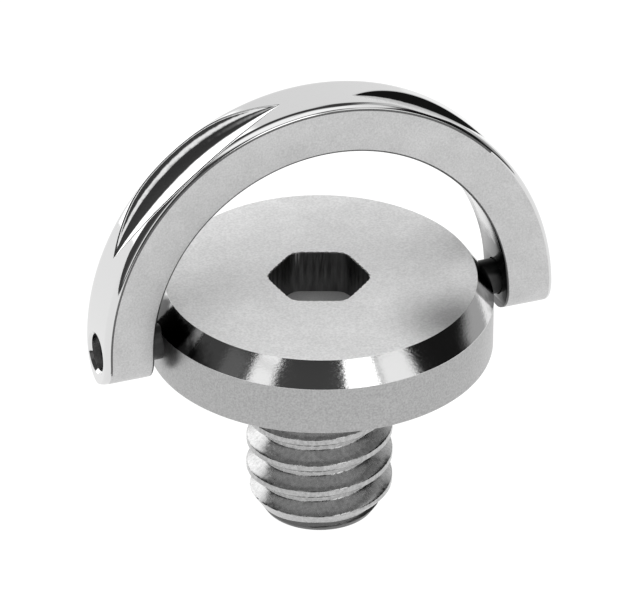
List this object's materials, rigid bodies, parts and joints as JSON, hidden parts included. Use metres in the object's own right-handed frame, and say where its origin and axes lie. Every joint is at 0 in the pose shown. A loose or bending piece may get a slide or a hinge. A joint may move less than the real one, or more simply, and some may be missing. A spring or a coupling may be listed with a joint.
{
  "type": "d-ring camera screw",
  "caption": "Stainless camera mounting screw with a low hex-socket disc head and a half-round D-ring that folds down on either side of the head.",
  "frame": {"origin": "centre of the stud's flat end face, on the screw's axis", "axes": "+Z along the screw's axis from the stud's end to the head, +X along the D-ring's hinge axis, +Y the way the ring leans at rest"},
  "size_m": [0.0198, 0.0144, 0.0194],
  "materials": {
    "turned_steel": "satin turned stainless steel, with a polished bevel",
    "polished_steel": "polished stainless steel rim and edges, satin faces",
    "pin_steel": "plain drawn stainless steel pin"
  },
  "bodies": {
    "screw": {"screw_body": "turned_steel", "left_hinge_pin": "pin_steel", "right_hinge_pin": "pin_steel"},
    "ring": {"d_ring": "polished_steel"}
  },
  "joints": [
    {"name": "ring_fold", "type": "hinge", "parent": "screw", "child": "ring", "pos_m": [0, 0, 0.00945], "axis": [1, 0, 0], "range_deg": [-85.25, 94.75]}
  ]
}
